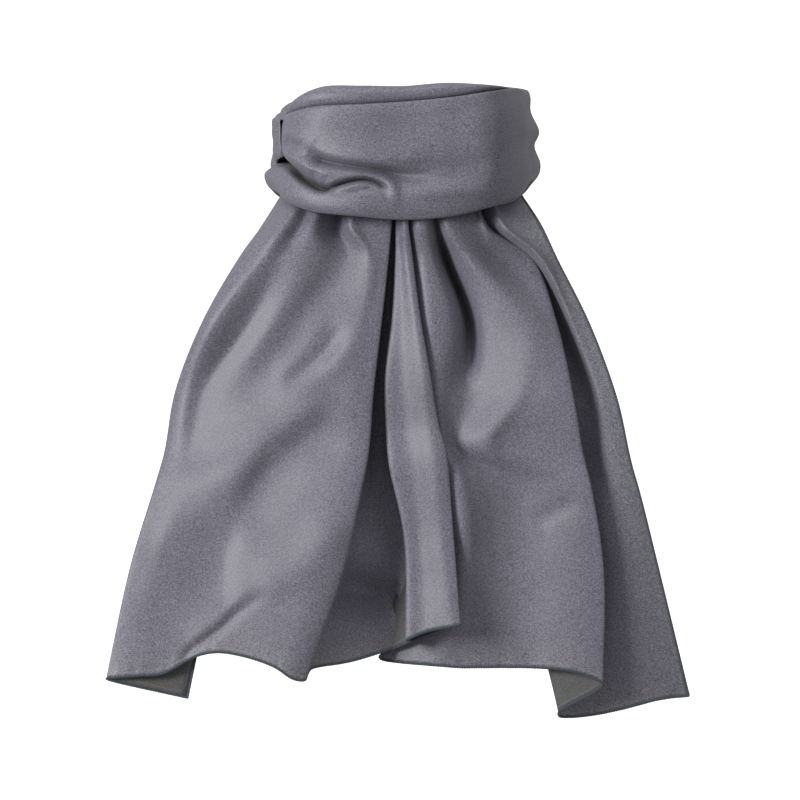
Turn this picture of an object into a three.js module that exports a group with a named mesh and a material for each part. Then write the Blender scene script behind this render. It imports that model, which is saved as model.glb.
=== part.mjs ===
// Evening stole of plain satin, worn as one turn round the neck with one end fanned over the chest.
// Millimetres, +Z up. The origin is on the neck's axis, about halfway up the neck loop.
// +X is to the right of someone who faces the stole, and -Y points at them.
import * as THREE from "three";

// Driving dimensions
const clothWall = 1.2;
const seamGap = 0.3;
const loopHalfWidth = 83; // neck axis to the loop's side
const loopFrontReach = 86; // neck axis to the loop's front
const loopBackReach = 72; // neck axis to the loop's nape
const flapDrop = 22; // how far the turned-in top hangs inside the loop
const flapShoulder = 7; // from the loop's crest down to where the turned-in top hangs straight
const rimDrop = 4; // from the loop's crest down to its front rim
const bottomTurn = 5; // how far the turned-under bottom goes up inside the loop
const lipRounding = 0.12; // share of the bottom's turn that is done a third of the way up to the lip
const throatHeight = -43; // where the fall comes out below the loop
const pinchHeight = -20; // where the loop holds the pleats together
const tuckHeight = 8; // top of the fall, hidden inside the loop
const pinchNarrowing = 0.78; // width of the pleats inside the loop, over that at the throat
const tuckNarrowing = 0.72;
const upperShare = 0.237; // shares of the way from throat to hem
const lowerShare = 0.6;
const hemBead = 1.1; // radius of the overlocked edge

// How far the drape stands in front of the neck axis, by level, before its folds are added.
const drapeArcs = {
  pinch: (across) => 66 * Math.sqrt(1 - (across / 78) ** 2),
  throat: (across) => 69 - 0.006 * across ** 2,
  upper: (across) => 79 - 0.0029 * across ** 2,
  lower: (across) => 98 - 0.0018 * across ** 2,
  hem: (across) => 108 - 0.0015 * across ** 2,
};

// Fold lines of the fall from its left side edge to its right one. At each level, across is X and
// out is how far the line stands in front of the drape's arc. hemHeight is where the line ends,
// with its overlocked edge.
const foldColumns = [
  "fold",
  ...["acrossThroat", "acrossUpper", "acrossLower", "acrossHem"],
  ...["outThroat", "outUpper", "outLower", "outHem"],
  "hemHeight",
];
const folds = namedRows(foldColumns, [
  ["left side edge", -69, -103, -108, -129, -6, -16, -22, -26, -323],
  ["left turned edge", -83, -122, -149, -174, 0, -7, -8, -8, -309],
  ["left outer roll", -75, -116, -138, -156, 5, 5, 3, -1, -306],
  ["left outer trough", -60, -103, -126, -138, -7, -9, -4, 4, -301],
  ["left main ridge", -52, -93, -111, -116, 7, 10, 9, 14, -289],
  ["left first pit", -41, -78, -95, -101, -8, 1, 5, 8, -291],
  ["left rib", -33, -60, -77, -86, 5, -2, 3, 3, -295],
  ["left second pit", -22, -41, -60, -72, -8, 2, 4, 3, -299],
  ["left inner ridge", -14, -25, -41, -61, 6, 10, 11, 7, -302],
  ["left panel edge", -7, -14, -28, -54, 4, 9, 10, 6, -307],
  ["recess turn", -10, -19, -34, -60, -3, 0, -1, -5, -305],
  ["recess floor", -6.5, -11, -18, -36, -9, -12, -12, -8, -298],
  ["centre pleat flank", -3, -7, -9, -6, -1, -2, -4, 2, -290],
  ["centre pleat crest", 1, 2, 10, 15, 8, 11, 12, 14, -280],
  ["centre pleat edge", 5, 12, 29, 33, 6, 10, 14, 19, -274],
  ["centre pleat return", 3.5, 8, 24, 28, 0, 4, 6, 11, -277],
  ["right panel turn", 1, 2, 2, -11, -4, -4, -6, -5, -293],
  ["right panel start", 1.5, 3, 3, -10, -10, -10, -12, -13, -295],
  ["right lap", 8, 15, 24, 14, -11, -13, -11, -13, -298],
  ["right valley", 20, 37, 43, 43, -9, -12, -5, -4, -299],
  ["right main ridge", 26, 59, 67, 67, 6, 10, 6, 1, -299],
  ["right dip", 43, 73, 86, 88, -6, 2, 3, 3, -299],
  ["right crest", 48, 84, 100, 105, 5, 7, 6, 6, -302],
  ["right panel edge", 53, 91, 110, 115, 3, 3, 2, 0, -309],
  ["right return turn", 51, 84, 79, 92, -4, -5, -9, -10, -329],
  ["right back start", 53, 84, 78, 90, -9, -11, -16, -17, -331],
  ["right outer roll", 63, 101, 122, 124, 6, 4, -6, -12, -329],
  ["right back layer", 71, 109, 131, 147, 0, 0, -4, -8, -323],
  ["right side edge", 81, 113, 138, 166, -4, -7, -8, -4, -319],
]);

// Sections of the neck loop. angle runs from the front (0) to the wearer's left, seen as right (90).
// Heights are Z; out is measured from the loop's oval. flapOut is where the turned-in top hangs,
// and turnDepth how far behind the lip the bottom is turned under.
const loopColumns = [
  "angle",
  ...["flapOut", "rimOut", "top", "faceOut"],
  ...["ridgeOut", "ridge", "grooveOut", "groove", "lipOut", "lip"],
  ...["bottom", "turnDepth"],
];
const frontWrapSections = namedRows(loopColumns, [
  [102.8, -17, -6, 44, -6, -2, 19, -4, 9, 0, -3, -18, 7],
  [90, -18, -6, 42, -6, -2, 18, -4, 9, 0, -3, -17, 7],
  [72, -21, -4, 40, -3, -1, 16, -3, 7, 1, -7, -22, 7],
  [50, -27, -4, 34, 0, 1, 12, -1, 2, 2, -15, -32, 7],
  [25, -31, -3, 31, 1, 2, 4, 0, -6, 3, -22, -39, 7],
  [0, -32, -2, 29, 1, 2, -3, -2, -12, 3, -26, -40, 7],
  [-18, -32, -2, 28, 1, 5, -15, -3, -23, 4, -30, -38, 7],
  [-35, -29, -2, 27, 0, 6, -12, -4, -24, 5, -31, -36, 7],
  [-50, -24, -3, 25, -1, 3, -6, -5, -17, 4, -23, -31, 7],
  [-62, -22, -8, 22, -7, -7, -3, -9, -9, 4, -15, -25, 7],
  [-75, -20, -11, 21, -11, -11, -3, -13, -8, 2, -13, -21, 7],
  [-92, -20, -13, 21, -12, -12, -3, -14, -8, -1, -13, -20, 7],
  [-110, -19, -13, 21, -12, -12, -3, -14, -10, -3, -16, -22, 7],
  [-128, -17, -11, 22, -10, -10, -1, -9, -8, -7, -15, -20, 4],
  [-145, -14, -9, 22, -8, -8, 2, -8, -3, -8, -8, -13, 4],
]);
const neckTurnSections = namedRows(loopColumns, [
  [-60, -27, -6, 27, 0, 0, 15, 0, 7, 1, 3, -4, 5],
  [-66, -27, -4, 29, 2, 3, 16, 2, 8, 2, 2, -5, 5.5],
  [-80, -27, -9, 32, -4, -3, 17, -4, 8, -3, 0, -5, 4],
  [-100, -26, -16, 38, -6, -3, 20, -4, 8, -2, -2, -9, 5],
  [-130, -20, -13, 48, -3, 1, 25, -1, 11, 1, -4, -17, 5],
  [180, -15, -8, 52, -2, 1, 27, -1, 13, 1, -5, -23, 7],
  [140, -15, -9, 51, -4, 0, 25, -2, 12, 1, -5, -22, 7],
  [116, -16, -7, 47, -5, -1, 21, -3, 10, 0, -4, -20, 7],
  [103.2, -17, -6, 44, -6, -2, 19, -4, 9, 0, -3, -18, 7],
]);

// Facets between neighbouring control points, for each piece
const fallFacets = { down: [1, 2, 2, 3, 3], across: 3 };
const firstOpenRow = 4; // the loop covers the side edges above this row
const loopFacets = { alongFront: 2, alongBack: 3, round: 2 };

const satin = { color: 0x7a7884, roughness: 0.42, metalness: 0 };
const hemThread = { color: 0x47525f, roughness: 0.6, metalness: 0 };

function namedRows(columns, rows) {
  return rows.map((row) =>
    Object.fromEntries(columns.map((column, i) => [column, row[i]])),
  );
}

// Points on a smooth line through the given ones, with a number of steps for each span.
function smoothLine(points, steps) {
  const curve = new THREE.CatmullRomCurve3(points);
  const spans = points.length - 1;
  const stepsOf = (span) => (Array.isArray(steps) ? steps[span] : steps);
  const line = [];
  for (let span = 0; span < spans; span++)
    for (let step = 0; step < stepsOf(span); step++)
      line.push(curve.getPoint((span + step / stepsOf(span)) / spans));
  line.push(points[spans].clone());
  return line;
}

// A grid of points through a net of control points: first along each column, then across each row.
function smoothGrid(net, stepsDown, stepsAcross) {
  const columns = net[0].map((_, i) =>
    smoothLine(
      net.map((row) => row[i]),
      stepsDown,
    ),
  );
  return columns[0].map((_, j) =>
    smoothLine(
      columns.map((column) => column[j]),
      stepsAcross,
    ),
  );
}

// The direction square to the cloth at a grid point.
function clothNormal(grid, j, i) {
  const row = grid[j];
  const down = grid[Math.min(j + 1, grid.length - 1)][i]
    .clone()
    .sub(grid[Math.max(j - 1, 0)][i]);
  const across = row[Math.min(i + 1, row.length - 1)]
    .clone()
    .sub(row[Math.max(i - 1, 0)]);
  return across.cross(down).normalize();
}

// A closed wall of cloth: the grid moved half a thickness to each side, and joined round its edges.
function clothWallGeometry(grid) {
  const rows = grid.length;
  const columns = grid[0].length;
  const positions = [];
  for (const side of [0.5, -0.5])
    grid.forEach((row, j) =>
      row.forEach((point, i) =>
        positions.push(
          ...point
            .clone()
            .addScaledVector(clothNormal(grid, j, i), side * clothWall),
        ),
      ),
    );
  const face = (j, i) => j * columns + i;
  const back = (j, i) => rows * columns + face(j, i);
  const triangles = [];
  const quad = (a, b, c, d) => triangles.push(a, b, c, a, c, d);
  for (let j = 0; j + 1 < rows; j++)
    for (let i = 0; i + 1 < columns; i++) {
      quad(face(j, i), face(j, i + 1), face(j + 1, i + 1), face(j + 1, i));
      quad(back(j, i), back(j + 1, i), back(j + 1, i + 1), back(j, i + 1));
    }
  const last = { row: rows - 1, column: columns - 1 };
  for (let i = 0; i < last.column; i++) {
    quad(face(0, i), back(0, i), back(0, i + 1), face(0, i + 1));
    quad(
      face(last.row, i),
      face(last.row, i + 1),
      back(last.row, i + 1),
      back(last.row, i),
    );
  }
  for (let j = 0; j < last.row; j++) {
    quad(face(j, 0), face(j + 1, 0), back(j + 1, 0), back(j, 0));
    quad(
      face(j, last.column),
      back(j, last.column),
      back(j + 1, last.column),
      face(j + 1, last.column),
    );
  }
  return facingOut(positions, triangles);
}

// A geometry whose triangles point outwards.
function facingOut(positions, triangles) {
  const corner = (n) => new THREE.Vector3().fromArray(positions, 3 * n);
  let sixVolumes = 0;
  for (let n = 0; n < triangles.length; n += 3) {
    const [a, b, c] = triangles.slice(n, n + 3).map(corner);
    sixVolumes += a.dot(b.cross(c));
  }
  if (sixVolumes < 0) triangles.reverse();
  const geometry = new THREE.BufferGeometry();
  geometry.setAttribute(
    "position",
    new THREE.Float32BufferAttribute(positions, 3),
  );
  geometry.setIndex(triangles);
  return geometry;
}

// The fall: the end of the stole that fans out below the loop.
function fallGrid() {
  const at = (across, reach, height) =>
    new THREE.Vector3(across, -reach, height);
  const openLevel = (level, share) =>
    folds.map((fold) => {
      const across = fold["across" + level];
      const reach = drapeArcs[level.toLowerCase()](across) + fold["out" + level];
      const clothEnd = fold.hemHeight + 2 * hemBead + seamGap;
      const height = throatHeight + share * (clothEnd - throatHeight);
      return at(across, reach, height);
    });
  const heldLevel = (narrowing, height) =>
    folds.map((fold) => {
      const pinched = pinchNarrowing * fold.acrossThroat;
      const reach = drapeArcs.pinch(pinched) + fold.outThroat;
      return at(narrowing * fold.acrossThroat, reach, height);
    });
  const net = [
    heldLevel(tuckNarrowing, tuckHeight),
    heldLevel(pinchNarrowing, pinchHeight),
    openLevel("Throat", 0),
    openLevel("Upper", upperShare),
    openLevel("Lower", lowerShare),
    openLevel("Hem", 1),
  ];
  return smoothGrid(net, fallFacets.down, fallFacets.across);
}

// One section of the neck loop, from the turned-in top down the face to the turned-under bottom.
function loopSection(section) {
  const angle = THREE.MathUtils.degToRad(section.angle);
  const outward = new THREE.Vector3(Math.sin(angle), -Math.cos(angle), 0);
  const reach = Math.cos(angle) > 0 ? loopFrontReach : loopBackReach;
  const onOval = new THREE.Vector3(
    loopHalfWidth * outward.x,
    reach * outward.y,
    0,
  );
  const at = (out, height) =>
    onOval.clone().addScaledVector(outward, out).setZ(height);
  const { flapOut, rimOut, top, faceOut, lipOut, bottom, turnDepth } = section;
  const crestOut = (flapOut + rimOut) / 2;
  return [
    at(flapOut, top - flapDrop),
    at(flapOut + 1, top - flapShoulder),
    at(crestOut, top),
    at(rimOut, top - rimDrop),
    at(faceOut, (top + section.ridge) / 2),
    at(section.ridgeOut, section.ridge),
    at(section.grooveOut, section.groove),
    at(lipOut, section.lip),
    at(lipOut - lipRounding * turnDepth, (section.lip + 2 * bottom) / 3),
    at(lipOut - turnDepth / 2, bottom),
    at(lipOut - turnDepth, bottom + bottomTurn),
  ];
}

function loopGrid(sections, stepsAlong) {
  return smoothGrid(sections.map(loopSection), stepsAlong, loopFacets.round);
}

// An overlocked edge: a six-sided bead beside the cloth's edge, clear of it by the seam gap.
// Each ring of its corners stands on one point of the edge.
function beadGeometry(edge, inner, normals) {
  const corners = 6;
  const positions = [];
  edge.forEach((point, k) => {
    const away = point.clone().sub(inner[k]).normalize();
    const centre = point.clone().addScaledVector(away, hemBead + seamGap);
    for (let corner = 0; corner < corners; corner++) {
      const turn = (2 * Math.PI * corner) / corners;
      positions.push(
        ...centre
          .clone()
          .addScaledVector(normals[k], hemBead * Math.cos(turn))
          .addScaledVector(away, hemBead * Math.sin(turn)),
      );
    }
  });
  const triangles = [];
  const last = (edge.length - 1) * corners;
  for (let ring = 0; ring < last; ring += corners)
    for (let corner = 0; corner < corners; corner++) {
      const next = (corner + 1) % corners;
      const [a, b] = [ring + corner, ring + next];
      triangles.push(a, b, b + corners, a, b + corners, a + corners);
    }
  for (let corner = 1; corner + 1 < corners; corner++) {
    triangles.push(0, corner + 1, corner);
    triangles.push(last, last + corner, last + corner + 1);
  }
  return facingOut(positions, triangles);
}

function addPiece(group, name, geometry, finish) {
  const piece = new THREE.Mesh(geometry, new THREE.MeshStandardMaterial(finish));
  piece.name = name;
  group.add(piece);
}

const stole = new THREE.Group();

const fall = fallGrid();
addPiece(stole, "fall", clothWallGeometry(fall), satin);

const lastRow = fall.length - 1;
const lastColumn = fall[0].length - 1;
addPiece(
  stole,
  "end_hem",
  beadGeometry(
    fall[lastRow],
    fall[lastRow - 1],
    fall[lastRow].map((_, i) => clothNormal(fall, lastRow, i)),
  ),
  hemThread,
);

const openRows = fall.map((_, j) => j).slice(firstOpenRow);
const sideEdges = [
  { name: "left_side_hem", edge: 0, inner: 1 },
  { name: "right_side_hem", edge: lastColumn, inner: lastColumn - 1 },
];
for (const { name, edge, inner } of sideEdges)
  addPiece(
    stole,
    name,
    beadGeometry(
      openRows.map((j) => fall[j][edge]),
      openRows.map((j) => fall[j][inner]),
      openRows.map((j) => clothNormal(fall, j, edge)),
    ),
    hemThread,
  );

addPiece(
  stole,
  "front_wrap",
  clothWallGeometry(loopGrid(frontWrapSections, loopFacets.alongFront)),
  satin,
);
addPiece(
  stole,
  "neck_turn",
  clothWallGeometry(loopGrid(neckTurnSections, loopFacets.alongBack)),
  satin,
);

export default stole;
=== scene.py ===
import math
from functools import partial

import bpy
import numpy as np
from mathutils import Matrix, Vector


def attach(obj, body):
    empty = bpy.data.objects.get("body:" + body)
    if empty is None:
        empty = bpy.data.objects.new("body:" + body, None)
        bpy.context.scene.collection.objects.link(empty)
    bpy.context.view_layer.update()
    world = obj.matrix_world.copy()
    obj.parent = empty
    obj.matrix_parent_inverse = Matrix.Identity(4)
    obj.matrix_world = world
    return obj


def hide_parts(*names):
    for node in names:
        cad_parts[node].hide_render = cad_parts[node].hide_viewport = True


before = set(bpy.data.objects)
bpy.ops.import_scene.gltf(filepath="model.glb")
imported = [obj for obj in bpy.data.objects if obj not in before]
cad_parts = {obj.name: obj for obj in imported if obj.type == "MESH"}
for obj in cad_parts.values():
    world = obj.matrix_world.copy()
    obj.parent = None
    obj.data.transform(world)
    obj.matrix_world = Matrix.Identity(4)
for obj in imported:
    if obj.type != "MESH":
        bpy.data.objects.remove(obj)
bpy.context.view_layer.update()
mm = 0.001
print("frame loaded")


def addObject(name, data):
    made = bpy.data.objects.new(name, data)
    bpy.context.scene.collection.objects.link(made)
    return made


# smooth lines and nets of cloth, in millimetres

def smoothLine(points, steps):
    # Catmull-Rom along the first axis, a number of steps for each span
    points = np.asarray(points, float)
    first = 2 * points[:1] - points[1:2]
    last = 2 * points[-1:] - points[-2:-1]
    padded = np.concatenate([first, points, last])
    spans = len(points) - 1
    if np.isscalar(steps):
        steps = [steps] * spans
    gap = np.sum(np.diff(padded, axis=0) ** 2, axis=-1, keepdims=True) ** 0.25
    gap = np.maximum(gap, 1e-4)
    line = []
    for i in range(spans):
        a, b, c, d = padded[i:i + 4]
        g0, g1, g2 = gap[i:i + 3]
        leave = ((b - a) / g0 - (c - a) / (g0 + g1) + (c - b) / g1) * g1
        arrive = ((c - b) / g1 - (d - b) / (g1 + g2) + (d - c) / g2) * g1
        for t in np.arange(steps[i]) / steps[i]:
            hold = (2 * t ** 3 - 3 * t ** 2 + 1) * b + (3 * t ** 2 - 2 * t ** 3) * c
            line.append(hold + (t ** 3 - 2 * t ** 2 + t) * leave + (t ** 3 - t ** 2) * arrive)
    line.append(points[-1])
    return np.array(line)


def smoothNet(net, stepsDown, stepsAcross):
    down = smoothLine(net, stepsDown)
    return smoothLine(down.transpose(1, 0, 2), stepsAcross).transpose(1, 0, 2)


def clothNormals(grid):
    n = np.cross(np.gradient(grid, axis=1), np.gradient(grid, axis=0))
    return n / np.maximum(np.linalg.norm(n, axis=-1, keepdims=True), 1e-9)


def fade(x, low, high):
    t = np.clip((x - low) / (high - low), 0, 1)
    return t * t * (3 - 2 * t)


def between(x, marks):
    comesIn, full, leaves, gone = marks
    return fade(x, comesIn, full) * fade(x, gone, leaves)


def fineSteps(steps):
    # where each line of the fine net lies, counted in the lines it was made from
    return np.concatenate([i + np.arange(n) / n for i, n in enumerate(steps)] + [[len(steps)]])


def creaseLift(across, height, creases):
    # how far the creases lift the cloth where they pass, seen from the front
    lift = np.zeros(across.shape)
    spot = np.stack([across, height], -1)
    for crease in creases:
        line = smoothLine(crease["line"], 6)
        best = np.full(across.shape, 1e9)
        share = np.zeros(across.shape)
        side = np.zeros(across.shape)
        lengths = np.linalg.norm(np.diff(line, axis=0), axis=1)
        total = lengths.sum()
        passed = 0.0
        for a, b, length in zip(line[:-1], line[1:], lengths):
            run = (b - a) / length
            t = np.clip((spot - a) @ run, 0, length)
            away = spot - a - t[..., None] * run
            d = np.linalg.norm(away, axis=-1)
            near = d < best
            best = np.where(near, d, best)
            share = np.where(near, (passed + t) / total, share)
            side = np.where(near, run[0] * away[..., 1] - run[1] * away[..., 0], side)
            passed += length
        left, right = crease["width"]
        width = np.where(side > 0, left, right)
        start, end = crease.get("fade", (0.25, 0.25))
        ends = fade(share, 0, start) * fade(1 - share, 0, end)
        lift += crease["lift"] * np.exp(-(best / width) ** 2) * ends
    return lift


def ripple(a, b, seed, size, waves=7):
    # a few crossed waves, for the small unevenness of cloth
    rng = np.random.default_rng(seed)
    total = np.zeros(np.broadcast(a, b).shape)
    for wave in range(waves):
        turn = rng.uniform(0, math.pi)
        pitch = size * rng.uniform(0.6, 1.7)
        way = a * math.cos(turn) + b * math.sin(turn)
        total += np.sin(way * 2 * math.pi / pitch + rng.uniform(0, 6))
    return total / waves


def clothPiece(name, grid, wall, marks, evenRounds=60):
    rows, columns = grid.shape[:2]
    mesh = bpy.data.meshes.new(name)
    index = np.arange(rows * columns).reshape(rows, columns)
    quads = np.stack([index[:-1, :-1], index[1:, :-1], index[1:, 1:], index[:-1, 1:]], -1)
    quads = quads.reshape(-1, 4)
    mesh.from_pydata((grid.reshape(-1, 3) * mm).tolist(), [], quads.tolist())
    # the cloth laid out flat, for its threads
    down = np.cumsum(np.linalg.norm(np.diff(grid, axis=0, prepend=grid[:1]), axis=-1), axis=0)
    across = np.linalg.norm(np.diff(grid, axis=1, prepend=grid[:, :1]), axis=-1)
    for i in range(evenRounds):
        across[1:-1] += 0.5 * ((across[:-2] + across[2:]) / 2 - across[1:-1])
    across = np.cumsum(across, axis=1)
    across -= across[:, columns // 2:columns // 2 + 1]
    flatSpot = np.stack([across, down], -1).reshape(-1, 2) * mm
    layer = mesh.uv_layers.new(name="weave")
    layer.data.foreach_set("uv", flatSpot[quads.reshape(-1)].astype(np.float32).ravel())
    for key, values in marks.items():
        attribute = mesh.attributes.new(key, "FLOAT", "POINT")
        spread = np.broadcast_to(values, (rows, columns)).astype(np.float32)
        attribute.data.foreach_set("value", spread.ravel())
    mesh.shade_smooth()
    piece = addObject(name, mesh)
    shell = piece.modifiers.new("wall", "SOLIDIFY")
    shell.thickness = wall * mm
    shell.offset = 0
    shell.material_offset = 1  # the reverse
    shell.material_offset_rim = 0
    return piece


# the fall, with its fold lines from the left side edge to the right one
# levels: share of the way from the throat down to the hem
# folds: across at each level, how far in front of the loop's axis at each level, and the height of the hem

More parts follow.
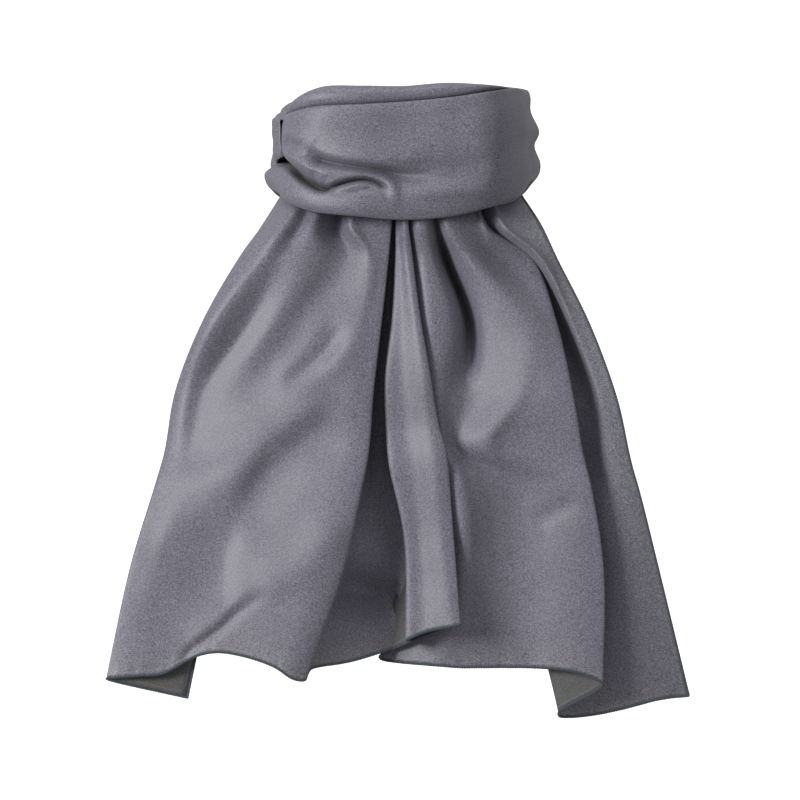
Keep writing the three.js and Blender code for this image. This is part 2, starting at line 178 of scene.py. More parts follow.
fall = {
    "wall": 0.5,
    "throat": -43,  # height where the cloth comes out below the loop
    "pinch": -20,  # where the loop holds it
    "tuck": 8,  # its hidden top
    "pinchNarrow": 0.84,  # share of the width at the throat
    "tuckNarrow": 0.66,
    "pinchReach": 69,  # the oval it is held on
    "pinchHalfWidth": 90,
    "pinchLeast": 58,  # folds that lie further back are held as if here
    "pinchFull": 72,
    "hemRadius": 0.9,
    "levels": [0, 0.07, 0.215, 0.37, 0.5, 0.575, 0.755, 1],
    "stepsDown": [5, 7, 10, 20, 22, 12, 14, 28, 32],
    "stepsAcross": 10,
    "unevenness": 0.45,
    "unevenSize": 42,
    "unevenStep": 3,  # sets each layer apart from the next
    "unevenSeed": 5,
    "creasesFrom": (-30, -60),  # heights between which creases come in
    "softness": 0.5,  # rounds the folds, all but the crisp ones
    "softRounds": 9,
    "crispReach": 0.45,
    "crisp": [
        "left turned edge", "left outer trough", "left panel edge", "recess turn", "centre pleat edge",
        "centre pleat return", "centre pleat face", "right panel turn", "right panel start",
        "right valley", "right rise", "right panel edge", "right return turn", "right back start",
    ],
    "pucker": 0.22,  # beside the hem
    "puckerPitch": 9,
    "puckerReach": 7,
    "puckerSwing": 2.2,
    "puckerSeed": 11,
    "folds": {
        "left side edge": ((-69, -86, -104, -106, -106, -106, -112, -125),
            (38, 45, 48, 46, 50.5, 58, 76, 90), -318.5),
        "left turned edge": ((-84, -96.3, -118, -134.2, -140, -145.2, -158.8, -172),
            (50, 62, 64, 57, 60.5, 67, 79, 90), -307.5),
        "left outer roll": ((-70, -82, -110, -127, -133, -138, -150, -163),
            (75.5, 76, 74.5, 64.5, 66.5, 71, 81.5, 92), -306.5),
        "left outer trough": ((-60, -71, -91, -117.5, -124, -129, -143, -152),
            (69, 74.6, 70.5, 64.5, 68.5, 75, 82.7, 92.8), -305.5),
        "left main ridge": ((-52, -53, -75, -101, -110.5, -119, -133, -139),
            (73, 76.8, 77.5, 71, 73.5, 78, 83.3, 93), -304.5),
        "left first pit": ((-37.5, -34, -58, -80, -89.5, -98, -112, -121),
            (57, 68.5, 75, 75, 78, 81.5, 84, 93.5), -294.5),
        "left rib": ((-31.5, -21, -28, -45, -58, -72, -90, -105),
            (75, 77, 81.5, 83.6, 83.5, 83.6, 88, 95.5), -291.5),
        "left second pit": ((-24, -17, -24, -34, -41.5, -50, -68, -74),
            (73, 77, 82.5, 85.5, 87, 89.3, 94.2, 102), -299.5),
        "left inner ridge": ((-14.4, -13, -19, -25, -28.5, -33, -46, -64),
            (74, 76.5, 82, 86.5, 89.5, 93, 99.5, 103), -306.5),
        "left panel edge": ((-7, -8.5, -12.6, -17.3, -20, -23.6, -34, -56.5),
            (74, 75.5, 81, 85.4, 88.5, 91.5, 96.5, 100), -307.5),
        "recess turn": ((-10, -11.5, -17, -22, -25, -28.5, -39, -53.5),
            (63, 64, 69, 72, 74.5, 78, 84, 97), -301.5),
        "recess floor": ((-6.5, -7.5, -11, -16, -17.5, -19, -22, -30),
            (55, 53, 54, 55, 57, 61, 71, 84), -298),
        "centre pleat flank": ((-2, -2, -3, -6, -5, -3, 5, 6),
            (59, 57, 57, 57, 60, 64, 66, 66), -287),
        "centre pleat face": ((-4, -4.3, -6, -10.2, -9.5, -8, 1, 2),
            (72, 72, 76, 80, 80.3, 84, 86, 91), -285),
        "centre pleat middle": ((-2, -1.5, 0, 0, 2, 5, 10, 13),
            (75, 73.5, 78.5, 82, 82.5, 86, 87.5, 93), -280),
        "centre pleat crest": ((0.5, 2, 6.5, 12, 15, 18, 21, 27),
            (79, 77, 83, 88.8, 88.5, 93, 93.5, 100), -276.8),
        "centre pleat edge": ((3, 5.2, 9.4, 15.5, 20.5, 25, 28.7, 33),
            (78.5, 76, 82, 87.6, 87.5, 92, 93, 100), -275.3),
        "centre pleat return": ((2, 3, 6, 11, 15.5, 20, 24, 28),
            (71, 71, 77, 82, 82.5, 86.5, 88, 95), -276.5),
        "right panel turn": ((1, 1.3, 2, 4, 4, 4, 1, -13),
            (68, 66, 70, 76, 76, 78, 62, 64), -296),
        "right panel start": ((1.5, 2, 3, 5, 5, 5, 2, -13),
            (66, 64, 68, 74, 74, 76, 60, 62), -298),
        "right lap": ((8, 10, 14, 18.5, 24, 31, 34, 20),
            (80, 75.5, 81, 85, 84.5, 91, 90, 80), -300.5),
        "right lap end": ((15, 19, 31, 27, 28, 39, 45, 32),
            (79, 74.5, 77.5, 81, 81, 86.4, 84.4, 81), -301.5),
        "right valley": ((20, 25, 38, 37, 30.5, 48, 54, 45),
            (66, 45, 52, 76, 80, 82, 80.8, 81), -301.5),
        "right rise": ((22.5, 30, 45.6, 45, 33, 57.5, 63.5, 58),
            (76, 71.5, 75, 78, 80.6, 80.3, 79.4, 80.5), -301.5),
        "right main ridge": ((26.6, 37.7, 67.3, 67.7, 49, 67, 77, 72),
            (80, 79, 85, 89, 88.2, 81.4, 81.6, 81), -301.5),
        "right dip": ((45, 51, 75, 77, 58, 78, 91, 88),
            (71, 69.5, 85, 90.8, 86.3, 85.6, 86.5, 85.5), -302),
        "right crest": ((47.5, 60, 83, 88, 83, 93, 105, 104),
            (73, 65.5, 82.2, 92.8, 89.7, 91, 91, 89), -304.5),
        "right panel edge": ((49.5, 75.5, 89.6, 98.4, 104.5, 109.3, 116.3, 116),
            (68, 64, 79.5, 92.5, 92.6, 93.5, 92, 88.5), -311),
        "right return turn": ((50, 75.6, 86.5, 90, 91, 92, 80, 91.8),
            (63.5, 62.5, 68, 80, 79, 77, 76, 78), -327),
        "right back start": ((50.6, 76, 86.5, 88, 89, 90, 79, 92),
            (61, 61.5, 58, 70, 70, 69, 66, 72), -331),
        "right inner flank": ((52.5, 77.2, 94.5, 108, 110.5, 113, 118, 108),
            (64, 64, 60.5, 75, 77, 81, 77, 69.5), -330.8),
        "right outer roll": ((59, 81, 99.5, 114, 118, 122.5, 132, 131),
            (74, 78, 79, 83, 82.5, 83.5, 79.5, 71), -326),
        "right back layer": ((61.5, 82.6, 103.3, 120.5, 126.5, 132.5, 143, 150),
            (70, 74.5, 78.5, 84, 85, 85, 79.5, 70.5), -321),
        "right side edge": ((81.2, 89.8, 109.1, 124.3, 132.2, 138, 150.6, 167.6),
            (62.5, 71, 78.6, 84, 84.6, 84.3, 78.5, 67), -319.3),
    },
    # creases: which stretch of folds they cross, their lift, their width to the left and right of the line,
    # how they fade at both ends, and the line seen from the front
    "creases": [
        {"from": "left turned edge", "to": "left panel edge",
         "lift": 3, "width": (7, 20), "fade": (0.2, 0.35),
         "line": [(-40, -138), (-59, -152), (-72, -162), (-81, -168), (-92, -183), (-100, -197),
                  (-108, -214)]},
        {"from": "left turned edge", "to": "left panel edge",
         "lift": -2.4, "width": (20, 7), "fade": (0.2, 0.35),
         "line": [(-35, -150), (-48, -162), (-65, -175), (-79, -188), (-89, -203), (-101, -223)]},
        {"from": "left turned edge", "to": "left panel edge",
         "lift": 1.2, "width": (4, 8),
         "line": [(-44, -92), (-49, -103), (-52, -110), (-63, -123), (-77, -136)]},
        {"from": "left turned edge", "to": "left panel edge",
         "lift": -1.8, "width": (8, 4),
         "line": [(-38, -100), (-40, -109), (-49, -121), (-59, -130), (-72, -141)]},
        {"from": "left turned edge", "to": "left panel edge",
         "lift": 1.8, "width": (8, 6), "fade": (0.35, 0.4),
         "line": [(-27, -92), (-30, -106), (-37, -119), (-48, -128), (-61, -136), (-80, -146)]},
        {"from": "left turned edge", "to": "left panel edge",
         "lift": -2.2, "width": (7, 22), "fade": (0.3, 0.3),
         "line": [(-98, -212), (-102, -226), (-105, -241), (-105, -258), (-108, -270)]},
        {"from": "left turned edge", "to": "left panel edge",
         "lift": 2, "width": (10, 14),
         "line": [(-32, -208), (-44, -226), (-58, -241), (-76, -252), (-90, -262)]},
        {"from": "left turned edge", "to": "left panel edge",
         "lift": -2.2, "width": (2.6, 2.2), "fade": (0.4, 0.05),
         "line": [(-76, -253), (-82, -258), (-95, -267), (-106, -277.5), (-118, -286), (-129.5, -296)]},
        {"from": "left turned edge", "to": "left panel edge",
         "lift": 1, "width": (3.5, 7), "fade": (0.4, 0.1),
         "line": [(-82, -251), (-104, -269), (-124, -287)]},
        {"from": "right panel start", "to": "right panel edge",
         "lift": -1.3, "width": (6, 6),
         "line": [(76, -218), (86, -211), (102, -203)]},
        {"from": "recess turn", "to": "centre pleat flank",
         "lift": -14, "width": (12, 12), "fade": (0.15, 0.15),
         "line": [(-40, -252), (-22, -258), (0, -260)]},
    ],
}


def fallGrid():
    names = list(fall["folds"])
    across = np.array([fold[0] for fold in fall["folds"].values()], float).T
    reach = np.array([fold[1] for fold in fall["folds"].values()], float).T
    hemLine = np.array([fold[2] for fold in fall["folds"].values()]) + fall["hemRadius"]
    offCentre = fall["pinchNarrow"] * across[0] / fall["pinchHalfWidth"]
    held = np.maximum(reach[0], fall["pinchLeast"])
    pinched = fall["pinchReach"] * np.sqrt(1 - offCentre ** 2) * held / fall["pinchFull"]
    net = []
    for narrow, height in ((fall["tuckNarrow"], fall["tuck"]), (fall["pinchNarrow"], fall["pinch"])):
        net.append(np.stack([narrow * across[0], -pinched, np.full(len(names), height)], -1))
    for share, x, front in zip(fall["levels"], across, reach):
        height = fall["throat"] + share * (hemLine - fall["throat"])
        net.append(np.stack([x, -front, height], -1))
    grid = smoothNet(np.array(net), fall["stepsDown"], fall["stepsAcross"])
    column = np.arange(grid.shape[1]) / fall["stepsAcross"]
    soft = np.full(len(column), fall["softness"])
    for name in fall["crisp"]:
        soft *= fade(np.abs(column - names.index(name)), 0, fall["crispReach"])
    for i in range(fall["softRounds"]):
        grid[:, 1:-1] += soft[1:-1, None] * ((grid[:, :-2] + grid[:, 2:]) / 2 - grid[:, 1:-1])
    below = fade(grid[..., 2], *fall["creasesFrom"])
    lift = np.zeros(grid.shape[:2])
    for crease in fall["creases"]:
        low, high = names.index(crease["from"]), names.index(crease["to"])
        inside = between(column, (low - 0.5, low + 0.7, high - 0.9, high + 0.3))  # in folds
        lift += creaseLift(grid[..., 0], grid[..., 2], [crease]) * inside
    aside = grid[..., 0] + fall["unevenStep"] * column
    uneven = ripple(aside, grid[..., 2], fall["unevenSeed"], fall["unevenSize"])
    lift += fall["unevenness"] * uneven
    grid[..., 1] -= lift * below
    # small puckers beside the hem
    edge = grid[-1:]
    run = np.cumsum(np.linalg.norm(np.diff(edge, axis=1, prepend=edge[:, :1]), axis=-1), axis=1)
    aboveHem = np.linalg.norm(grid - edge, axis=-1)
    waves = ripple(run, run * 0, fall["puckerSeed"], fall["puckerPitch"]) * fall["puckerSwing"]
    nearHem = np.exp(-(aboveHem / fall["puckerReach"]) ** 2)
    grid += clothNormals(grid) * (fall["pucker"] * waves * nearHem)[..., None]
    sides = [np.linalg.norm(grid - grid[:, i:i + 1], axis=-1) for i in (0, grid.shape[1] - 1)]
    return grid, np.minimum(aboveHem, np.minimum(*sides))


fallCloth, fromHem = fallGrid()
fallPiece = clothPiece("fall_cloth", fallCloth, fall["wall"], {"fromHem": fromHem * mm, "inFold": 0.0})
print("fall", fallCloth.shape)


# the loop: one run of cloth, from its folded front edge at the left round the nape to the tucked end
# sections: angle, where the turned-in top hangs, rim, top, how far the inner layer stands above it, face,
# ridge out and height, groove out and height, lip out and height, bottom, how deep the bottom is turned under

loop = {
    "wall": 0.5,
    "halfWidth": 83,  # the oval that the sections stand on
    "frontReach": 86,
    "backReach": 72,
    "flapDrop": 22,  # how far the turned-in top hangs
    "flapShoulder": 7,
    "rimDrop": 4,
    "innerGap": 5,
    "bottomTurn": 5,
    "lipRounding": 0.12,
    "sections": [
        (-57.5, -19, 0, 25, 0, 3, 3, 16, 3, 10, 2.5, 5, -0.5, 4),
        (-65, -20, -2, 27, 0, 2, 2.3, 17, 1.8, 10, 1.8, 4, -2, 5),
        (-80, -23, -10, 32, 0, -6, -5, 17, -6, 8, -5, 0, -5, 4),
        (-100, -26, -16, 37, 0, -6, -3, 20, -4, 8, -2, -2, -9, 5),
        (-130, -20, -13, 45, 0, -3, 1, 25, -1, 11, 1, -4, -17, 5),
        (180, -15, -8, 49, 0, -2, 1, 27, -1, 13, 1, -5, -23, 7),
        (140, -15, -9, 49, 0, -4, 0, 25, -2, 12, 1, -5, -22, 7),
        (116, -16, -7, 46, 0, -5, -1, 21, -3, 10, 0, -4, -20, 7),
        (103, -17, -6, 44, 0, -6, -0.8, 18, -3.5, 9, 0, -3, -14, 7),
        (90, -18, -6, 42, 0, -6, -0.8, 17, -3.5, 9, 0, -2, -11.5, 7),
        (72, -21, -5, 40, 0, -4, -1.5, 16, -4, 7, -0.5, -4, -14.5, 7),
        (54, -26, 0, 39, 0.8, 3, 4, 12, 3, 2, 4, -12, -26, 7),
        (35, -29, 8, 35, 4.5, 11, 12, 7, 11, -5, 11, -17, -32, 7),
        (19, -31, 3, 31, 9, 4, 5, 1, 3.5, -12, 6, -24, -38, 7),
        (0, -32, -2, 28.5, 9.7, -1.5, 0.5, -4, -2, -17, 2, -27, -40, 7),
        (-18, -31, 2, 27, 11.4, 2.5, 3.5, -4, 4, -17, 6.5, -29, -38, 7),
        (-35, -26, 7.5, 26.3, 12, 8, 8, -3, 8.5, -15, 10.5, -28, -35, 7),
        (-48, -20, 6.5, 24, 9, 7.5, 7.5, -2, 8, -11, 10, -20, -29, 7),
        (-60, -16, -0.5, 23.5, 2, 0.5, 0.5, -1, 1, -6, 5, -12.5, -22.5, 7),
        (-75, -16, -7, 22.5, 0, -5.5, -5.5, 0, -5, -3.5, 2, -9, -18, 7),
        (-92, -20, -13, 21, 0, -12, -12, 0, -14, -4, -1, -10, -18, 7),
        (-110, -19, -13, 21, 0, -12, -12, -3, -14, -10, -3, -16, -22, 7),
        (-128, -17, -11, 22, 0, -10, -10, -1, -9, -8, -7, -15, -20, 4),
        (-145, -14, -9, 22, 0, -8, -8, 2, -8, -3, -8, -8, -13, 4),
    ],
    "stepsAlong": [4, 8, 10, 12, 12, 12, 10, 8, 8, 12, 14, 14, 16, 18, 22, 24, 24, 26, 20, 8, 6, 6, 6],
    "stepsRound": [4, 4, 5, 5, 4, 4, 4, 12, 14, 16, 14, 8, 6, 5],
    "unevenness": 0.25,
    "unevenSize": 36,
    "unevenStretch": 1.5,
    "unevenSeed": 21,
    # where creases come in, are full, start to leave and are gone: down the section, and along the loop
    "onFace": (7, 7.8, 12, 12.6),
    "inFront": (9, 10.5, 18.4, 19.2),
    "atNape": (2, 3.5, 7, 8.5),
    "creaseAim": (0.3, 1, 0),  # creases push mostly to the front and back
    "creaseShadeFrom": (2, 9),  # depth where the painted crease shade starts, and where it is darkest
    # creases: lift, width to the left and right of the line, fade at both ends, and the line from the front
    "creases": [
        {"lift": 3, "width": (3, 3.5), "fade": (0.08, 0.15),
         "line": [(-74.5, 2.4), (-69.6, -0.4), (-60.4, -5.3), (-53, -9.3), (-49, -11), (-39.6, -11.5),
                  (-28, -12.9), (-16.2, -14.4), (-9.2, -17.3), (-5.2, -23), (-4.6, -27.7),
                  (-8.7, -31.8)]},
        {"lift": -1.6, "width": (2, 3),
         "line": [(-50, -10.5), (-51, -14), (-52, -19.5)]},
        {"lift": -13, "width": (3, 1.7), "fade": (0.03, 0.12),
         "line": [(-76, 0.5), (-71.4, -5), (-66.5, -9.7), (-60.4, -15.4), (-54.4, -19.4), (-49, -22),
                  (-42.5, -22.6)]},
        {"lift": -7, "width": (1.2, 2), "fade": (0.08, 0.12),
         "line": [(-47, -21.8), (-42.5, -20.8), (-36.7, -18.8), (-30.8, -17.3), (-25, -16.5),
                  (-19, -17), (-13.3, -19), (-8.7, -23)]},
        {"lift": -1.8, "width": (2.2, 1.5),
         "line": [(-45.5, -22.7), (-39.6, -24.2), (-30.8, -24.8), (-23.8, -23.5), (-17.4, -22.4)]},
        {"lift": -1.6, "width": (1.6, 1.6),
         "line": [(-22, -21.3), (-15, -22.2)]},
        {"lift": -6.8, "width": (2.2, 5), "fade": (0.14, 0.45),
         "line": [(-57.5, 1.2), (-48, -4.3), (-36.7, -7.5), (-22, -9.8), (-7.5, -12), (7, -14),
                  (22, -15)]},
        {"lift": 1.2, "width": (7, 4),
         "line": [(-54, 1.3), (-42.5, -3.4), (-25, -4.8), (-1.7, -4.5), (21.5, -3.4)]},
        {"lift": -2, "width": (3, 3),
         "line": [(-70, 8), (-60, 2)]},
        {"lift": 0.8, "width": (4, 4),
         "line": [(-66, 11), (-50, 4)]},
        {"lift": 1.2, "width": (6, 10),
         "line": [(42, 28), (44.7, 6), (52, -8), (55, -23)]},
        {"lift": 1.4, "width": (5, 4),
         "line": [(-2, -24), (26, -24), (43, -23), (57, -22)]},
    ],
    # the same round the nape, out of the front view
    "napeCreases": [
        {"lift": -2.4, "width": (3, 6),
         "line": [(-70, 24), (-40, 16), (5, 11), (48, 15), (74, 24)]},
        {"lift": 1.8, "width": (6, 4),
         "line": [(-62, 9), (-20, 1), (30, 0), (66, 6)]},
        {"lift": -1.8, "width": (3, 4),
         "line": [(-34, 37), (8, 33), (46, 36)]},
        {"lift": -1.7, "width": (3, 3),
         "line": [(-50, -4), (-18, -11), (22, -12)]},
        {"lift": 1.2, "width": (4, 5),
         "line": [(-30, 22), (10, 21), (40, 27)]},
    ],
}


def loopSection(row):
    angle, flapOut, rimOut, top, inner, faceOut, ridgeOut, ridge = row[:8]
    grooveOut, groove, lipOut, lip, bottom, turn = row[8:]
    turned = math.radians(angle)
    outward = np.array([math.sin(turned), -math.cos(turned), 0])
    reach = loop["frontReach"] if math.cos(turned) > 0 else loop["backReach"]
    onOval = np.array([loop["halfWidth"], reach, 0]) * outward
    innerOut = rimOut - loop["innerGap"]
    dip = min(1, inner / 4)
    # out from the oval and height: the hanging inner end, over the rim, down the face, the turned bottom
    profile = [
        (flapOut, top + inner - loop["flapDrop"]),
        (flapOut + 1, top + inner - loop["flapShoulder"]),
        (max(innerOut - 3, flapOut + 2), top + inner),
        (innerOut + 3 * dip, top + 0.65 * inner),
        (innerOut + 2.6 * dip, top + 2 * dip),
        (innerOut + 0.5 - 3.5 * dip, top - 1 * dip),
        (rimOut - 1.5, top),
        (rimOut, top - loop["rimDrop"]),
        (faceOut, (top + ridge) / 2),
        (ridgeOut, ridge),
        (grooveOut, groove),
        (lipOut, lip),
        (lipOut - loop["lipRounding"] * turn, (lip + 2 * bottom) / 3),
        (lipOut - turn / 2, bottom),
        (lipOut - turn, bottom + loop["bottomTurn"]),
    ]
    return [onOval + out * outward + np.array([0, 0, height]) for out, height in profile]


def loopGrid():
    net = np.array([loopSection(row) for row in loop["sections"]])
    grid = smoothNet(net, loop["stepsAlong"], loop["stepsRound"])
    station = fineSteps(loop["stepsAlong"])[:, None]
    onFace = between(fineSteps(loop["stepsRound"]), loop["onFace"])
    creased = np.zeros(grid.shape[:2])
    for creases, place in (("creases", "inFront"), ("napeCreases", "atNape")):
        lifted = creaseLift(grid[..., 0], grid[..., 2], loop[creases])
        creased += lifted * between(station, loop[place]) * onFace
    length = np.cumsum(np.linalg.norm(np.diff(grid, axis=0, prepend=grid[:1]), axis=-1), axis=0)
    uneven = ripple(length, grid[..., 2] * loop["unevenStretch"], loop["unevenSeed"], loop["unevenSize"])
    lift = creased + loop["unevenness"] * uneven
    outward = grid * np.array(loop["creaseAim"])
    outward /= np.linalg.norm(outward, axis=-1, keepdims=True)
    # painted shade: the deeper a crease, the darker its colour
    creaseShade = fade(-creased, *loop["creaseShadeFrom"])
    return grid + lift[..., None] * outward, creaseShade


loopCloth, creaseShade = loopGrid()
loopPiece = clothPiece("neck_loop_cloth", loopCloth, loop["wall"], {"fromHem": 0.2, "inFold": creaseShade})
print("loop", loopCloth.shape)


# node maths with plain operators

class Wire:
    def __init__(self, tree, socket):
        self.tree = tree
        self.socket = socket

    def math(self, kind, a, b):
        return Wire.node(self.tree, "ShaderNodeMath", {"operation": kind}, {0: a, 1: b})

    def __add__(self, other):
        return self.math("ADD", self, other)

    def __radd__(self, other):
        return self.math("ADD", other, self)

    def __sub__(self, other):
        return self.math("SUBTRACT", self, other)

    def __rsub__(self, other):
        return self.math("SUBTRACT", other, self)

    def __mul__(self, other):
        return self.math("MULTIPLY", self, other)

    def __rmul__(self, other):
        return self.math("MULTIPLY", other, self)

    def blend(self, low, high):
        return Wire.node(self.tree, "ShaderNodeMix", {"data_type": "RGBA"}, {0: self, 6: low, 7: high}, 2)

    @staticmethod
    def node(tree, kind, settings=None, values=None, out=0):
        made = tree.nodes.new(kind)
        for key, value in (settings or {}).items():
            setattr(made, key, value)
        for key, value in (values or {}).items():
            if isinstance(value, Wire):
                tree.links.new(value.socket, made.inputs[key])
            else:
                made.inputs[key].default_value = value
        return Wire(tree, made.outputs[out]) if len(made.outputs) else made


def blankMaterial(name):
    material = bpy.data.materials.new(name)
    material.use_nodes = True
    material.node_tree.nodes.clear()
    return material, material.node_tree


satin = {
    "face": {
        "colour": (0.23, 0.222, 0.279, 1),
        "shade": (0.108, 0.104, 0.131, 1),
        "byHem": (0.262, 0.262, 0.276, 1),
        "roughness": 0.45,
        "sheen": 0.15,
    },
    # the reverse's own duller grey, made darker still as painted shade for the shadowed turned-under corners
    "reverse": {
        "colour": (0.13, 0.13, 0.132, 1),
        "shade": (0.07, 0.07, 0.071, 1),
        "byHem": (0.118, 0.118, 0.12, 1),
        "roughness": 0.65,
        "sheen": 0.1,
    },
    "needleLine": (0.3, 0.3, 0.32, 1),
    # painted shade colour for the loop's deep creases
    "creaseShade": (0.02, 0.02, 0.024, 1),
    "weft": 2200.0,  # threads a metre
    "warp": 3100.0,
    "weaveDepth": 0.0002,
    "weaveStrength": 0.5,
    "grain": (1100, 1100, 1500),
    "grainShare": 3.4,
    "glossShare": 0.3,
    "clouds": 16.0,
    "cloudShare": 0.3,
    "sheenRoughness": 0.5,
    "tintReach": 0.022,  # metres from the edge
    "tintShare": 0.7,
    "needleAt": 0.0027,
    "needleWidth": 0.0005,
    "needleShare": 0.2,
    "creaseShadeShare": 0.94,
}


def satinMaterial(name, side):
    material, tree = blankMaterial(name)
    node = partial(Wire.node, tree)

    def noise(spot, scale, detail, roughness=0.5):
        return node("ShaderNodeTexNoise", None,
                    {"Vector": spot, "Scale": scale, "Detail": detail, "Roughness": roughness})

    def easeOff(value, reach, full):
        return node("ShaderNodeMapRange", {"interpolation_type": "SMOOTHSTEP"},
                    {"Value": value, "From Min": 0.0, "From Max": reach, "To Min": full, "To Max": 0.0})

    spot = node("ShaderNodeTexCoord", None, None, "Object")
    flatSpot = node("ShaderNodeUVMap", {"uv_map": "weave"})
    threadSpot = node("ShaderNodeMapping", None,
                      {"Vector": flatSpot, "Scale": (satin["weft"], satin["warp"], 1)})
    grainSpot = node("ShaderNodeMapping", None, {"Vector": spot, "Scale": satin["grain"]})
    threads = noise(threadSpot, 1.0, 1.0, 0.6)
    weave = noise(grainSpot, 1.0, 1.0, 0.6)
    cloudy = noise(spot, satin["clouds"], 3.0)
    mottle = 0.5 + (cloudy - 0.5) * satin["cloudShare"] + (weave - 0.5) * satin["grainShare"]
    away = node("ShaderNodeAttribute", {"attribute_name": "fromHem"}, None, "Fac")
    beside = node("ShaderNodeMath", {"operation": "ABSOLUTE"}, {0: away - satin["needleAt"]})
    inFold = node("ShaderNodeAttribute", {"attribute_name": "inFold"}, None, "Fac")
    tone = mottle.blend(side["shade"], side["colour"])
    byHem = mottle.blend(side["shade"], side["byHem"])
    tone = easeOff(away, satin["tintReach"], satin["tintShare"]).blend(tone, byHem)
    tone = easeOff(beside, satin["needleWidth"], satin["needleShare"]).blend(tone, satin["needleLine"])
    # painted shade darkens the colour in the loop's deep creases
    tone = (inFold * satin["creaseShadeShare"]).blend(tone, satin["creaseShade"])
    relief = node("ShaderNodeBump", None,
                  {"Strength": satin["weaveStrength"], "Distance": satin["weaveDepth"], "Height": threads})
    surface = node("ShaderNodeBsdfPrincipled", None, {
        "Base Color": tone,
        "Roughness": side["roughness"] + (weave - 0.5) * satin["glossShare"],
        "Sheen Weight": side["sheen"],
        "Sheen Roughness": satin["sheenRoughness"],
        "Normal": relief,
    })
    node("ShaderNodeOutputMaterial", None, {"Surface": surface})
    return material


faceSatin = satinMaterial("satin_face", satin["face"])
backSatin = satinMaterial("satin_reverse", satin["reverse"])
for piece in (fallPiece, loopPiece):
    piece.data.materials.append(faceSatin)
    piece.data.materials.append(backSatin)
print("cloth materials")


# the overlocked hem: a bead along three edges of the cloth, wound with thread, sizes in millimetres

hem = {
    "core": 0.65,
    "ring": 0.74,
    "wire": 0.24,
    "pitch": 1.0,
    "lean": 22.0,  # degrees
    "sway": (0.75, 1.25),
    "seed": 4,
    "coreSides": 8,
    "ringSides": 10,
    "wireSides": 4,
    "thread": (0.085, 0.108, 0.142, 1),
    "threadShade": (0.045, 0.057, 0.078, 1),
    "roughness": 0.8,
    "sheen": 0.3,
    "twist": 1500.0,
    "twistDepth": 0.0001,
    "twistStrength": 0.4,
    "patches": 60.0,
}


def threadMaterial():
    material, tree = blankMaterial("hem_thread")
    node = partial(Wire.node, tree)
    spot = node("ShaderNodeTexCoord", None, None, "Object")
    twist = node("ShaderNodeTexNoise", None, {"Vector": spot, "Scale": hem["twist"], "Detail": 2.0})
    patch = node("ShaderNodeTexNoise", None, {"Vector": spot, "Scale": hem["patches"], "Detail": 2.0})
    tone = (twist * 0.6 + patch * 0.4).blend(hem["threadShade"], hem["thread"])
    relief = node("ShaderNodeBump", None,
                  {"Strength": hem["twistStrength"], "Distance": hem["twistDepth"], "Height": twist})
    surface = node("ShaderNodeBsdfPrincipled", None, {
        "Base Color": tone,
        "Roughness": hem["roughness"],
        "Sheen Weight": hem["sheen"],
        "Normal": relief,
    })
    node("ShaderNodeOutputMaterial", None, {"Surface": surface})
    return material


def overlockTree(material):
    tree = bpy.data.node_groups.new("overlock", "GeometryNodeTree")
    tree.interface.new_socket("Edge", in_out="INPUT", socket_type="NodeSocketGeometry")
    for name in ("Core", "Ring", "Wire", "Pitch", "Lean"):
        tree.interface.new_socket(name, in_out="INPUT", socket_type="NodeSocketFloat")
    tree.interface.new_socket("Seed", in_out="INPUT", socket_type="NodeSocketInt")
    tree.interface.new_socket("Hem", in_out="OUTPUT", socket_type="NodeSocketGeometry")
    node = partial(Wire.node, tree)
    given = tree.nodes.new("NodeGroupInput")

    def take(name):
        return Wire(tree, given.outputs[name])

    def circle(sides, size):
        return node("GeometryNodeCurvePrimitiveCircle", None,
                    {"Resolution": hem[sides], "Radius": take(size)})

    edge = node("GeometryNodeMeshToCurve", None, {"Mesh": take("Edge")})
    core = node("GeometryNodeCurveToMesh", None,
                {"Curve": edge, "Profile Curve": circle("coreSides", "Core"), "Fill Caps": True})
    stitches = node("GeometryNodeResampleCurve", {"mode": "LENGTH"}, {"Curve": edge, "Length": take("Pitch")})
    ring = node("GeometryNodeCurveToMesh", None,
                {"Curve": circle("ringSides", "Ring"), "Profile Curve": circle("wireSides", "Wire")})
    along = node("GeometryNodeInputTangent")
    upright = node("FunctionNodeAlignRotationToVector", {"axis": "Z"}, {"Vector": along})
    least, most = hem["sway"]
    sway = node("FunctionNodeRandomValue", {"data_type": "FLOAT"},
                {2: least, 3: most, "Seed": take("Seed")}, 1)
    lean = node("ShaderNodeCombineXYZ", None, {"X": take("Lean") * sway})
    leaning = node("FunctionNodeEulerToRotation", None, {0: lean})
    turned = node("FunctionNodeRotateRotation", {"rotation_space": "LOCAL"}, {0: upright, 1: leaning})
    rings = node("GeometryNodeInstanceOnPoints", None,
                 {"Points": stitches, "Instance": ring, "Rotation": turned})
    joined = tree.nodes.new("GeometryNodeJoinGeometry")
    tree.links.new(rings.socket, joined.inputs[0])
    tree.links.new(core.socket, joined.inputs[0])
    plain = node("GeometryNodeRealizeInstances", None, {"Geometry": Wire(tree, joined.outputs[0])})
    painted = node("GeometryNodeSetMaterial", None, {"Geometry": plain, "Material": material})
    node("NodeGroupOutput", None, {"Hem": painted})
    return tree


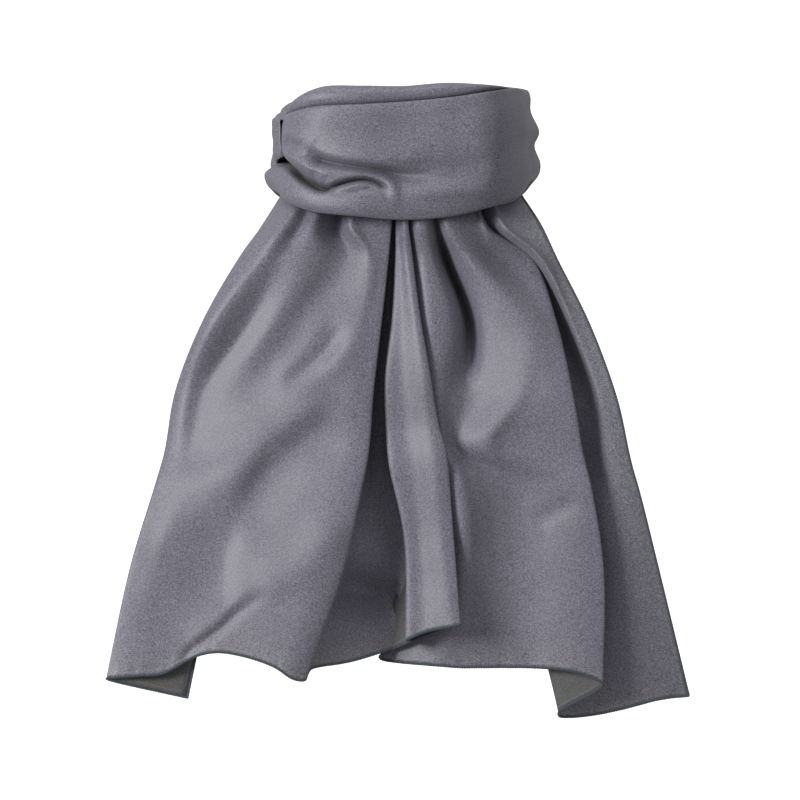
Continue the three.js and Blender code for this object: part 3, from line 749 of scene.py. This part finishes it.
def hemPiece(name, points, tree):
    mesh = bpy.data.meshes.new(name + "_edge")
    mesh.from_pydata((points * mm).tolist(), [(i, i + 1) for i in range(len(points) - 1)], [])
    edge = addObject(name + "_edge", mesh)
    wound = edge.modifiers.new("overlock", "NODES")
    wound.node_group = tree
    sizes = {size: hem[size.lower()] * mm for size in ("Core", "Ring", "Wire", "Pitch")}
    sizes["Lean"] = math.radians(hem["lean"])
    sizes["Seed"] = hem["seed"]
    for socket in tree.interface.items_tree:
        if socket.in_out == "INPUT" and socket.name in sizes:
            wound[socket.identifier] = sizes[socket.name]
    ready = edge.evaluated_get(bpy.context.evaluated_depsgraph_get())
    plain = bpy.data.meshes.new_from_object(ready)
    plain.name = name
    plain.shade_smooth()
    bpy.data.objects.remove(edge)
    piece = addObject(name, plain)
    print(name, len(plain.polygons), "faces")
    return piece


thread = threadMaterial()
overlock = overlockTree(thread)
sideStart = fall["stepsDown"][0]  # from the pinch down
hemPieces = {
    "end_hem": hemPiece("end_hem_thread", fallCloth[-1], overlock),
    "left_side_hem": hemPiece("left_side_hem_thread", fallCloth[sideStart:, 0], overlock),
    "right_side_hem": hemPiece("right_side_hem_thread", fallCloth[sideStart:, -1], overlock),
}


# camera, light and stage

view = {
    "at": (-0.0017, -2.2, -0.145),
    "lens": 163.7,
    "sensor": 36,
}
camera = addObject("camera", bpy.data.cameras.new("camera"))
camera.location = view["at"]
camera.rotation_euler = (math.radians(90), 0, 0)
camera.data.lens = view["lens"]
camera.data.sensor_width = view["sensor"]
bpy.context.scene.camera = camera

studio = {
    "aim": (0, 0, -0.12),
    "world": 0.3,
    "lamps": {
        "key": {"at": (-1.99, -1.55, 0.51), "size": 0.9, "power": 54},
        "fill": {"at": (1.7, -2.0, 0.2), "size": 1.6, "power": 5},
        "top": {"at": (-0.2, -0.5, 1.9), "size": 1.2, "power": 11},
    },
    "planes": {
        "backdrop": {
            "corners": [(-5, 3.6, -1.4), (5, 3.6, -1.4), (5, 3.6, 4), (-5, 3.6, 4)],
            "colour": (0.97, 0.97, 0.97, 1),
            "glow": 0.9,
        },
        "floor": {
            "corners": [(-5, -5, -1.4), (5, -5, -1.4), (5, 3.6, -1.4), (-5, 3.6, -1.4)],
            "colour": (0.9, 0.9, 0.9, 1),
            "glow": 0.0,
        },
    },
}
for name, lamp in studio["lamps"].items():
    data = bpy.data.lights.new(name, "AREA")
    data.size = lamp["size"]
    data.energy = lamp["power"]
    light = addObject(name, data)
    light.location = lamp["at"]
    aim = np.array(studio["aim"]) - np.array(lamp["at"])
    light.rotation_mode = "QUATERNION"
    light.rotation_quaternion = Vector(aim).to_track_quat("-Z", "Y")

world = bpy.data.worlds.new("studio")
world.use_nodes = True
background = world.node_tree.nodes["Background"]
background.inputs["Color"].default_value = (1, 1, 1, 1)
background.inputs["Strength"].default_value = studio["world"]
bpy.context.scene.world = world
bpy.context.scene.view_settings.view_transform = "Standard"

for name, card in studio["planes"].items():
    mesh = bpy.data.meshes.new(name)
    mesh.from_pydata(card["corners"], [], [(0, 1, 2, 3)])
    material = bpy.data.materials.new(name)
    material.use_nodes = True
    paint = material.node_tree.nodes["Principled BSDF"]
    paint.inputs["Base Color"].default_value = card["colour"]
    paint.inputs["Roughness"].default_value = 0.9
    paint.inputs["Emission Color"].default_value = card["colour"]
    paint.inputs["Emission Strength"].default_value = card["glow"]
    mesh.materials.append(material)
    plane = addObject(name, mesh)
    plane.visible_diffuse = False  # the stage lends the cloth no light of its own
    plane.visible_glossy = False
print("camera, light and stage")


# what each piece rides on and stands for

for piece in (fallPiece, loopPiece):
    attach(piece, "root")
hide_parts("fall")
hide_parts("front_wrap", "neck_turn")
for node, piece in hemPieces.items():
    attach(piece, "root")
    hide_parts(node)
